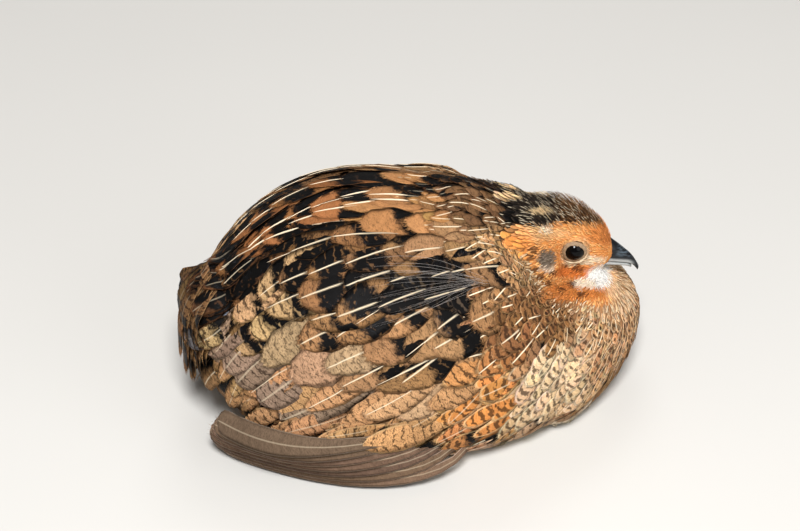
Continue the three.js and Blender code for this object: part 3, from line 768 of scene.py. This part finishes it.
# Steps along a feather, columns across it, and loose barbs at each step of an edge
SMOOTH, SHORT, SOFT, FULL = (4, 2, 0), (6, 4, 2), (8, 4, 3), (8, 4, 8)
tracts = {
    "coat_face": (head_part & (hx > -4), SMOOTH),
    "coat_crown_and_nape": (head_part & (hx <= -4), SMOOTH),
    "coat_neck_right": (neck_part & right, SHORT),
    "coat_neck_left": (neck_part & ~right, SHORT),
    "coat_breast": (breast_part, FULL),
    "coat_back": (back_part, FULL),
    "coat_side_right": (side_part & right, FULL),
    "coat_side_left": (side_part & ~right, FULL),
    "coat_belly": (low & ~head_part & ~neck_part, SOFT),
}
for seed, (name, (mask, fineness)) in enumerate(tracts.items(), 100):
    mask = mask & ~on_eye & ~on_bill
    coat = Coat(name, seed)
    steps, columns, barbs = fineness
    on_head = fineness == SMOOTH
    count = int(mask.sum())
    size_here, far_here, x_here, angle_here = (values[mask] for values in (size, far, x, angle))

    # Longer feathers hang over the tail and the folded primaries, and stand up on the forehead
    over_tail = smooth(-44, -49, x_here) * smooth(0, 20, angle_here)
    over_hand = smooth(-44, -34, x_here) * smooth(4, -4, x_here)
    over_hand = over_hand * smooth(6, 1, angle_here) * smooth(-20, -12, angle_here)
    nape = smooth(0, 10, x_here) * smooth(30, 24, x_here)
    nape = nape * smooth(55, 75, angle_here) * smooth(14, 18, far_here)
    spiky = on_head * smooth(-12, -4, hx[mask]) * smooth(4, 7, hz[mask])
    lengths = size_here * np.interp(far_here, [14, 19, 24, 50], [4.8, 3.8, 3.0, 3.1]) * MM
    lengths = lengths * coat.varied(0.14, count) * (1 + 0.35 * over_tail + 0.7 * over_hand + 0.35 * spiky)
    path = follow(roots[mask], lengths, steps, bend=0.2 * coat.draws.normal(size=count))
    root_rise = np.interp(far_here, [14, 26], [-0.2, 0.2]) * MM
    tip_rise = np.interp(far_here, [14, 20, 30, 45], [0.4, 0.5, 0.62, 0.85])
    tip_rise = tip_rise + 2.2 * over_tail + 2.6 * over_hand + 0.6 * nape + 1.1 * spiky
    tip_rise = tip_rise * MM * coat.varied(0.12, count)
    halves = size_here * np.interp(far_here, [14, 19, 23], [0.36, 0.36, 0.8]) * MM * coat.varied(0.15, count)
    coat.add(
        path, halves, lengths, columns, (root_rise, tip_rise), barbs=barbs,
        thick=(0.04 if on_head else 0.08) * MM, blunt=1.3 if on_head else 1.8,
        streaked=0.35 if far_here.mean() < 30 else 0.6, uneven=0.18 if on_head else 0.12,
    )
    coat.piece("head_plumage" if on_head else "body_plumage", plumage_stuff)


# Wing: coverts and scapulars in staggered rows, each with its tip at a place on the wing, over the
# longer secondaries. A raised cream shaft shows on most of them.
STREAKED_TIPS = {  # x of the tips in each row, by the row's angle
    88: (-12, -19, -26, -32, -38, -43, -48), 72: (0, -24, -33, -38, -43, -50),
    58: (2, -9, -14, -22, -31, -37, -42), 49: (6, 1, -4, -13, -24, -33, -40), 40: (-6, -17, -26, -32),
    30: (4, -5, -18, -27, -36), 21: (11, -6, -13, -30), 12: (4, -14, -20, -27), 1: (-15, -22, -35, -46),
}
TIP_GAP = 5.6  # in millimetres, between the tips


def wing_tips(side, seed):
    """Tips of the feathers with a pale shaft, then of plainer ones that fill the gaps between."""
    draws = np.random.default_rng(seed)
    tips = []
    for angle, row in STREAKED_TIPS.items():
        tips += [(x + 0.5 * draws.normal(), angle + draws.normal()) for x in row]
    streaked = len(tips)
    for _ in range(1500):
        x, angle = draws.uniform(-52, 4), draws.uniform(-8, 96)
        front = np.interp(angle, [-8, 4, 20, 60, 72, 96], [-12, -6, 2, 2, -4, -12])
        gaps = [math.hypot(x - other, (angle - place) * 0.52) for other, place in tips]
        if x < front and min(gaps) > TIP_GAP:
            tips.append((x, angle))
    return np.array([body_place(x, angle, side) for x, angle in tips]), streaked


def raised_shafts(name, tracks, material):
    """Thin three-sided shafts along the middle of feathers, tapered to both ends."""
    points, faces, patches = [], [], []
    start = 0
    for track, out, width, wedge in tracks:
        steps = len(track) - 1
        way = unit(np.gradient(track, axis=0))
        side = unit(np.cross(out, way))
        t = np.linspace(0.04, 0.98, steps + 1)
        girth = (width * t**0.6 * (1 - t) ** (0.6 + 0.7 * wedge) * 1.8)[:, None]
        ridge = track + out * (girth * 0.5 + 0.05 * MM)
        ring = np.stack([track - side * girth, track + side * girth, ridge], axis=1).reshape(-1, 3)
        caps = np.array([(0, 1, 2), (steps * 3, steps * 3 + 2, steps * 3 + 1)])
        points.append(ring)
        faces.append(np.concatenate([tube_faces(steps, 3, 3), caps]) + start)
        patches.append(unwrap(ring))
        start += len(ring)
    points, faces, patches = (np.concatenate(arrays) for arrays in (points, faces, patches))
    dress(put_in_scene(name, closed_mesh(name, points, faces, {}, patches)), material, "wing_plumage")


horn_cream, new, shader = new_material("shaft_cream", 0.45, 0.4)
grain = new.object_place().noise(900.0)
wear(shader, Base_Color=new.dye(244, 228, 200).blend(new.dye(200, 168, 124), grain * 0.5))

for side, label in ((-1, "right"), (1, "left")):
    tips, streaked = wing_tips(side, 31)
    x, angle = body_angles(tips)
    coat = Coat("coverts_" + label, 40)
    count = len(tips)
    lengths = (np.interp(x, [-30, 0], [22, 15]) + 1.5 * coat.draws.normal(size=count)) * MM
    path = follow(tips, lengths, 12, sign=-1, bend=0.08 * coat.draws.normal(size=count))
    halves = np.interp(angle, [-6, 20, 50, 90], [3.9, 4.6, 5.0, 4.2]) * MM * coat.varied(0.12, count)

    # They stand higher towards the rump, less over the back, and each tip lies over the next roots
    fullness = np.interp(angle, [60, 92], [1, 0.6])
    root_rise = np.interp(x + lengths / MM, [-25, 5], [1.5, 0.5]) * fullness - smooth(-12, 0, x)
    tip_rise = np.interp(x, [-25, 5], [1.5, 0.5]) * fullness + 0.55 + 0.04 * coat.draws.normal(size=count)
    rows = plumage(tips)
    has_streak = (np.arange(count) < streaked) & (rows[:, STREAK] > 0.2)
    rows[:, STREAK] *= has_streak * 0.6
    middles, outs = coat.add(
        path, halves, lengths, 6, (root_rise * MM, tip_rise * MM), rows, thick=0.05 * MM, patch=0.03,
        hug=True, barbs=22, ragged=0.05, blunt=1.7,
    )
    coat.piece("wing_plumage", plumage_stuff, "wing_" + label)

    # The shafts widen to wedges towards the middle of the back
    wedge = smooth(76, 84, angle)
    tracks = []
    for i in np.flatnonzero(has_streak):
        first = 4 if coat.draws.random() < 0.6 else 6
        width = 0.11 + 0.1 * coat.draws.random() + 0.42 * wedge[i]
        out = outs[first:, i]
        tracks.append((middles[first:, i] + out * 0.02 * MM, out, width * MM, wedge[i]))
    raised_shafts("shafts_" + label, tracks, horn_cream)


# Flight feathers: the long inner secondaries folded under the coverts, and the outer primaries
# folded along the ground below them. They are smooth vanes with few loose barbs.
SECONDARY_TIPS = [(-53, 27), (-52, 19), (-50, 12), (-48, 5), (-44, -2), (-40, -9)]
FIRST_PRIMARY = [[2, -37, 8], [-16, -38.5, 4], [-38, -28, 3.5], [-54, -12, 2.5]]
LAST_PRIMARY = [[-18, -39, 17], [-38, -34.5, 15.5], [-49, -25.5, 14.5], [-54, -17, 13]]


def through(stops, steps):
    """Curves through four stops each, evenly from the first to the last."""
    t = np.linspace(0, 3, steps + 1)[:, None, None]
    return (
        -(t - 1) * (t - 2) * (t - 3) / 6 * stops[0]
        + t * (t - 2) * (t - 3) / 2 * stops[1]
        - t * (t - 1) * (t - 3) / 2 * stops[2]
        + t * (t - 1) * (t - 2) / 6 * stops[3]
    )


def ways_along(places):
    return unit(np.gradient(places, axis=0))


for side, label in ((-1, "right"), (1, "left")):
    coat = Coat("secondaries_" + label, 50)
    tips = np.array([body_place(x, angle, side) for x, angle in SECONDARY_TIPS])
    lengths, halves = np.full(len(tips), 34 * MM), np.full(len(tips), 4.4 * MM)
    rows = np.tile(marking((150, 124, 104), (170, 146, 122), 0.3, 9, 0.3, 0.9, 0.3), (len(tips), 1))
    coat.add(
        follow(tips, lengths, 14, sign=-1), halves, lengths, 6, (0.4 * MM, 2.2 * MM), rows, thick=0.15 * MM,
        patch=0.06, hug=True, ragged=0.02, round_from=0.8,
    )

    share = np.linspace(0, 1, 7)
    first, last = np.array(FIRST_PRIMARY)[:, None], np.array(LAST_PRIMARY)[:, None]
    stops = (first * (1 - share[:, None]) + last * share[:, None] + [shift / MM, 0, 0]) * MM
    stops[3, :, 0] -= 1.8 * MM * np.sin(np.pi * share)
    places = through(stops, 16) * np.array([1, -side, 1])
    ways = ways_along(places)
    across = unit(np.cross([0, 0, 1], ways))
    outs = unit(across * np.sign(across[..., 1:2]) * side + [0, 0, 0.4])
    rows = np.tile(marking((122, 98, 80), (196, 172, 152), 0.25, 9, 0.1, 0.45, 0.25), (len(share), 1))
    lengths, halves = np.interp(share, [0, 1], [62, 46]) * MM, np.interp(share, [0, 1], [2.5, 3.4]) * MM
    coat.add(
        (places, outs, ways), halves, lengths, 6, (0, 0.7 * MM), rows, thick=0.2 * MM, patch=0.06,
        ragged=0.015, round_from=0.86,
    )
    coat.piece("wing_plumage", plumage_stuff)

# Loose barbs: a few pale ones fan out over the wing from the edge of the breast, on the bird's
# right. Each is a thin shaft that stands off the coverts.
draws = np.random.default_rng(61)
stations = np.linspace(0, 1, 9)
tracks = []
for _ in range(26):
    spread = draws.random()
    root_x, root_angle = 8 + 1.2 * draws.normal(), 43 + 1.5 * draws.normal()
    tip_x, tip_angle = -8 - 14 * draws.random(), 32 + 26 * spread + draws.normal()
    bow = 3.5 * (spread - 0.3) + 0.3 * draws.normal()
    route_x = root_x + (tip_x - root_x) * stations
    route_angle = root_angle + (tip_angle - root_angle) * stations + bow * np.sin(np.pi * stations)
    track, outs = settle(np.array([body_place(x, angle, -1) for x, angle in zip(route_x, route_angle)]))
    height = (2.0 + 1.4 * np.sin(stations * 2.4)[:, None]) * MM
    tracks.append((track + outs * height, outs, 0.03 * MM, 0.5))
loose_grey, new, shader = new_material("loose_barbs", 0.5, 0.4)
fluff = new.object_place().noise(700.0)
wear(shader, Base_Color=new.dye(188, 180, 174).tinted(0.6 + fluff * 0.6))
raised_shafts("loose_barbs", tracks, loose_grey)

# Tail: two tiers of soft short feathers that droop close behind the rump. Their coverts are longer
# soft feathers of the rump that hang over the tail's root.
coat = Coat("tail_feathers", 70)
TAIL_SPREAD = 9.5
for count, top, end, lift, half, length in ((13, 38, 15, 0, 3.8, 25), (11, 46, 24, 1.0, 3.6, 24)):
    place = np.linspace(-1, 1, count) + 0.04 * coat.draws.normal(size=count)
    edge = np.abs(place)
    drop = end + 12 * edge - top + 1.5 * coat.draws.normal(size=count)
    stops = [
        (-51 + 0 * edge, place * TAIL_SPREAD * 0.5, top - 4 * edge),
        (-57 + 2 * edge, place * TAIL_SPREAD * 0.8, top - 4 * edge + drop * 0.4),
        (-58.6 + 3 * edge, place * TAIL_SPREAD, top - 4 * edge + drop * 0.7),
        (-58.8 + 4.5 * edge, place * TAIL_SPREAD * 1.1, top - 4 * edge + drop),
    ]
    places = through((np.array(stops).transpose(0, 2, 1) + [shift / MM, 0, 0]) * MM, 12)
    ways = ways_along(places)
    outs = unit(np.cross([0, 1, 0], ways))
    outs = outs * np.sign(outs[..., :1]) * -1
    rows = np.tile(marking((132, 98, 64), (158, 122, 84), 0.4, 3.0, 0.6, 0.7, 0.2), (count, 1))
    coat.add(
        (places, outs, ways), np.full(count, half * MM), np.full(count, length * MM), 6,
        (lift * MM, (lift + 0.5) * MM), rows, thick=0.12 * MM, patch=0.05, barbs=12, round_from=0.8,
    )

draws = np.random.default_rng(75)
starts = []
for height, half_width in ((50, 13), (46, 15), (42, 16), (37, 17)):
    for place in np.linspace(-1, 1, 9):
        centre = Vector((-30 * MM + shift, 0, height * MM))
        way = Vector((-26, place * half_width + draws.normal(), 2 * draws.normal() - 3 * abs(place)))
        way.normalize()
        starts.append(skin_tree.ray_cast(centre + way * 0.06, -way)[0])
count = len(starts)
lengths = (13 + 1.5 * coat.draws.normal(size=count)) * MM
path = follow(np.array(starts), lengths, 10, bend=0.15 * coat.draws.normal(size=count))
halves = (2.8 + 0.3 * coat.draws.normal(size=count)) * MM
tip_rise = (3.4 + 0.3 * coat.draws.normal(size=count)) * MM
coat.add(path, halves, lengths, 6, (0.6 * MM, tip_rise), thick=0.08 * MM, patch=0.02, barbs=12)
coat.piece("tail_plumage", plumage_stuff, "tail")

# Bill: two sheaths of horn that meet along the cutting edge, the upper arched and hooked over the
# lower, with a scale over each nostril. Blue-black, with pale grey along the edge.
BILL_ROOT, BILL_TIP = 5, 19
EDGE_HEIGHT, HOOK_START, HOOK_BEND = -4.15, 15.0, 0.1  # of the cutting edge, which bends down

horn, new, shader = new_material("bill_horn", 0.3, 0.35)
x, y, z = new.stored("local", 1).parts()
bent = new.math("MAXIMUM", x - HOOK_START, 0.0)
over_edge = z - (EDGE_HEIGHT - bent * bent * HOOK_BEND)
streaks = new.joined(x * 0.35, y, z * 2.2).noise(1.2, 4.0, 0.6)
pale = (1.0 - over_edge.ramp(0.2, 1.1)) * x.ramp(18.2, 15.5)
sheen = over_edge.ramp(1.0, 2.2) * x.ramp(11.5, 13.0) * x.ramp(17.5, 15.5)
horn_colour = new.dye(15, 17, 20).tinted(0.55 + streaks * 0.9)
horn_colour = horn_colour.blend(new.dye(104, 120, 132), sheen * streaks.ramp(0.4, 0.6) * 0.4)
horn_colour = horn_colour.blend(new.dye(168, 170, 168), pale * (0.75 + streaks * 0.3))
wear(shader, Base_Color=horn_colour, Roughness=0.26 + streaks * 0.16, Normal=bumped(streaks, 0.25, 0.0001))


def finished(shape, name):
    """A shape, with its faces outward and smooth, as a piece."""
    bmesh.ops.recalc_face_normals(shape, faces=shape.faces)
    for face in shape.faces:
        face.smooth = True
    mesh = bpy.data.meshes.new(name)
    shape.to_mesh(mesh)
    shape.free()
    return put_in_scene(name, mesh)


def sheath(name, tip, rise, drop, below, nostrils):
    """A cone along the bill, with its height above and below the edge as functions of the length."""
    shape = bmesh.new()
    bmesh.ops.create_cone(shape, cap_ends=True, segments=56, radius1=1, radius2=1, depth=1)
    long_edges = [e for e in shape.edges if abs(e.verts[0].co.z - e.verts[1].co.z) > 0.5]
    bmesh.ops.subdivide_edges(shape, edges=long_edges, cuts=44, use_grid_fill=False)
    layer = shape.verts.layers.float_vector.new("local")
    for vert in shape.verts:
        x = BILL_ROOT + (tip - BILL_ROOT) * math.sin((vert.co.z + 0.5) * math.pi / 2)
        share = (x - BILL_ROOT) / (BILL_TIP - BILL_ROOT)
        angle = math.atan2(vert.co.y, vert.co.x)
        up = math.sin(angle)
        y = (3.3 - 2.7 * share**1.3) * math.cos(angle)
        z = EDGE_HEIGHT - HOOK_BEND * max(x - HOOK_START, 0) ** 2 - below
        z += (rise(share) if up > 0 else drop(share)) * up
        if nostrils:
            scale_top = math.exp(-(((x - 11) / 1.8) ** 2) - ((z + 1.1) / 0.9) ** 2)
            slit = math.exp(-(((x - 11.5) / 1.3) ** 2) - ((z + 2.1) / 0.35) ** 2)
            y += math.copysign(0.4 * scale_top - 0.5 * slit, y) if abs(y) > 0.2 else 0
        vert[layer] = (x, y, z)
        vert.co = head_place(x, y, z).tolist()
    return finished(shape, name)


upper = sheath("bill_upper_horn", BILL_TIP, lambda s: 7.9 - 7.6 * s, lambda s: 0.2 + 0.7 * s**6, 0, True)
lower = sheath("bill_lower_horn", BILL_TIP - 2, lambda s: 0.2, lambda s: 1.9 - 1.4 * s, 0.75, False)
dress(upper, horn, "bill_horn", "bill_upper")
dress(lower, horn, "bill_horn", "bill_lower")

# Eyes: wet dark balls set in the head, each with a ring of pale lid skin that slopes from its
# opening down to the coat. Iris and pupil are nearly one in colour.
EYE_RADIUS, EYE_SIDE = 2.9, 6.1
LID_RADIUS, LID_SLOPE = 2.72, 36  # of the ring's middle, and its slope in degrees

wet_eye, new, shader = new_material("eye", 0.05, 0.06)
shader.inputs["Coat Weight"].default_value = 0.15
shader.inputs["Coat Roughness"].default_value = 0.02
x, _, z = new.stored("local", 1).parts()
off_axis = new.math("SQRT", x * x + z * z)
fibres = new.stored("local", 1).noise(2.5, 3.0)
iris = new.dye(12, 9, 8).tinted(0.3 + fibres * 0.9)
wear(shader, Base_Color=iris.blend(new.dye(5, 4, 5), 1.0 - off_axis.ramp(1.55, 1.75)))

lid_skin, new, shader = new_material("lid_skin", 0.55, 0.35)
beads = new.stored("local", 1).noise(4.6, 3.0)
lid_colour = new.dye(152, 126, 98).tinted(0.35 + beads * 1.05)
wear(shader, Base_Color=lid_colour, Normal=bumped(beads, 0.8, 0.0002))


def ball():
    shape = bmesh.new()
    bmesh.ops.create_uvsphere(shape, u_segments=64, v_segments=40, radius=EYE_RADIUS)
    return shape


def lid():
    """A flat oval section spun round the eye's axis, which is Y."""
    shape = bmesh.new()
    slope = Matrix.Rotation(-math.radians(LID_SLOPE), 4, "Z")
    place = Matrix.Translation((LID_RADIUS, -0.3, 0)) @ slope @ Matrix.Diagonal((5.0, 1.1, 1, 1))
    bmesh.ops.create_circle(shape, segments=18, radius=0.11, cap_ends=False, matrix=place)
    bmesh.ops.spin(
        shape, geom=shape.edges[:], cent=(0, 0, 0), axis=(0, 1, 0), angle=math.tau, steps=56, use_merge=True
    )
    return shape


def lid_bend(x, y, z, side):
    """The lid's point, off round by a little, and out to where the ball's opening is."""
    squash = 1 + 0.04 * math.sin(3 * math.atan2(z, x) + 0.6)
    x, z = x * squash, z * squash * 0.97
    return x, side * (1.85 + y + 0.06 * math.sin(13 * math.atan2(z, x))), z


for side, label in ((-1, "right"), (1, "left")):
    for name, shape in (("eye_ball_", ball()), ("lid_", lid())):
        layer = shape.verts.layers.float_vector.new("local")
        for vert in shape.verts:
            vert[layer] = vert.co
            x, y, z = lid_bend(*vert.co, side) if name == "lid_" else vert.co
            vert.co = head_place(EYE_FORWARD + x, side * EYE_SIDE + y, z).tolist()
        piece = finished(shape, name + label)
        if name == "lid_":
            dress(piece, lid_skin, "head_plumage")
        else:
            dress(piece, wet_eye, "eye", "eye_" + label)

# Legs: scaled ochre skin over the CAD's own shanks, toes and claws, which lie folded in the
# feathers under the belly.
leg_skin, new, shader = new_material("leg_skin", 0.5, 0.4)
place = new.object_place()
cells = new.add("ShaderNodeTexVoronoi", 0, {"feature": "DISTANCE_TO_EDGE"}, Vector=place, Scale=900.0)
scales = cells.ramp(0.02, 0.14)
mottle = place.noise(500.0, 3.0)
leg_colour = new.dye(196, 150, 74).tinted(0.55 + mottle * 0.7).tinted(0.6 + scales * 0.4)
wear(shader, Base_Color=leg_colour, Roughness=0.62 - scales * 0.2, Normal=bumped(scales, 0.6, 0.0002))
for name in ("leg_right", "leg_left"):
    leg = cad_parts[name]
    leg.data.materials.clear()
    leg.data.materials.append(leg_skin)

# Floor: one plain pale sheet of painted board under the bird. It carries her shadow, and isn't
# part of her.
shape = bmesh.new()
bmesh.ops.create_grid(shape, x_segments=8, y_segments=8, size=1.6)
mesh = bpy.data.meshes.new("floor")
shape.to_mesh(mesh)
shape.free()
floor = bpy.data.objects.new("floor", mesh)
bpy.context.scene.collection.objects.link(floor)
floor_paint, new, shader = new_material("floor_paint", 0.8, 0.2)
wear(shader, Base_Color=new.dye(206, 204, 200).tinted(0.97 + new.object_place().noise(6.0) * 0.06))
floor.data.materials.append(floor_paint)

# Light and camera: a small strong key lamp over the camera, a broad fill and a rim from behind.
# The camera's long lens looks from the bird's right, a little behind it and well above.
bpy.context.scene.view_settings.view_transform = "Standard"
AZIMUTH, ELEVATION, DISTANCE, LENS = -15, 36, 0.545, 100
target = Vector((-0.0045 + shift, 0, 0.0377))


def from_target(azimuth, elevation, distance):
    turn, tilt = math.radians(azimuth), math.radians(elevation)
    back = Vector((math.sin(turn) * math.cos(tilt), -math.cos(turn) * math.cos(tilt), math.sin(tilt)))
    return target + back * distance


def aim(thing, place):
    """Puts a lamp or the camera at a place, turned to the bird."""
    thing.location = place
    thing.rotation_euler = (target - place).to_track_quat("-Z", "Y").to_euler()
    bpy.context.scene.collection.objects.link(thing)


for name, azimuth, elevation, distance, size, power in (
    ("key", -14, 52, 0.9, 0.25, 11.5), ("fill", 35, 25, 1.2, 0.9, 3.6), ("rim", 165, 50, 1.0, 0.5, 2.0),
):
    lamp = bpy.data.lights.new(name, "AREA")
    lamp.shape = "DISK"
    lamp.size = size
    lamp.energy = power
    aim(bpy.data.objects.new(name, lamp), from_target(azimuth, elevation, distance))
world = bpy.data.worlds.new("room")
world.use_nodes = True
background = world.node_tree.nodes["Background"]
background.inputs["Color"].default_value = (1.0, 0.97, 0.93, 1)
background.inputs["Strength"].default_value = 0.22
bpy.context.scene.world = world

camera_data = bpy.data.cameras.new("camera")
camera_data.lens = LENS
camera_data.sensor_width = 36
camera_data.clip_start = 0.01
camera = bpy.data.objects.new("camera", camera_data)
aim(camera, from_target(AZIMUTH, ELEVATION, DISTANCE))
bpy.context.scene.camera = camera
